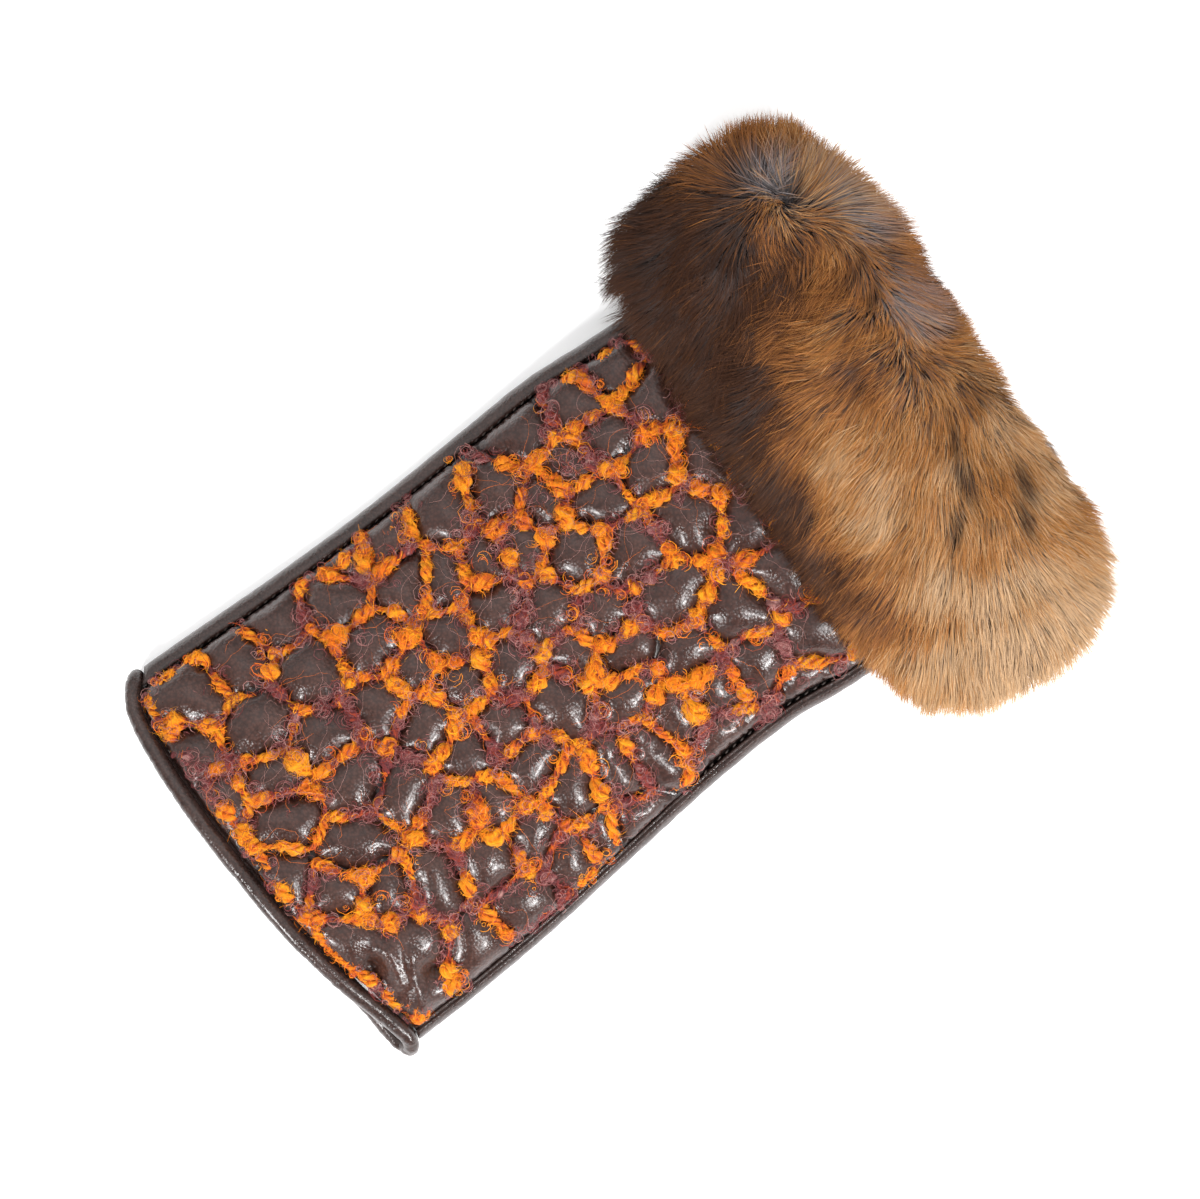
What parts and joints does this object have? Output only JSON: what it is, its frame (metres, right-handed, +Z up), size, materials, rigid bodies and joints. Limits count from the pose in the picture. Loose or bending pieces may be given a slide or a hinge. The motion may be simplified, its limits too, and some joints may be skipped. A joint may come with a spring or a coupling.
{
  "type": "fur-trimmed fingerless glove",
  "caption": "Fingerless leather glove lying on its palm, with a padded quilted back, a rolled finger edge, an open lined hollow and a deep fur cuff at the wrist.",
  "frame": {"origin": "middle of the glove's bounding box, on the surface that the palm rests on", "axes": "+Y along the hand from the finger opening to the wrist, +X across the hand towards the thumb slit, +Z up out of the back"},
  "size_m": [0.1352, 0.2002, 0.0455],
  "materials": {
    "plain_leather": "dark brown sheet leather with a fine grain, semi-gloss",
    "quilted_leather": "dark brown leather over padding, creased where it is sewn down, semi-gloss",
    "lining_cloth": "dark knitted lining, matt",
    "fur": "soft dense fur, dark brown at one side, rust and golden tan towards the other, grey where it parts",
    "boucle_yarn": "lumpy looped yarn, orange with burgundy, with loose fine fibres"
  },
  "bodies": {
    "root": {"palm_panel": "plain_leather", "quilted_back": "quilted_leather", "lining_sleeve": "lining_cloth", "finger_binding": "plain_leather", "fur_cuff": "fur"}
  },
  "joints": []
}
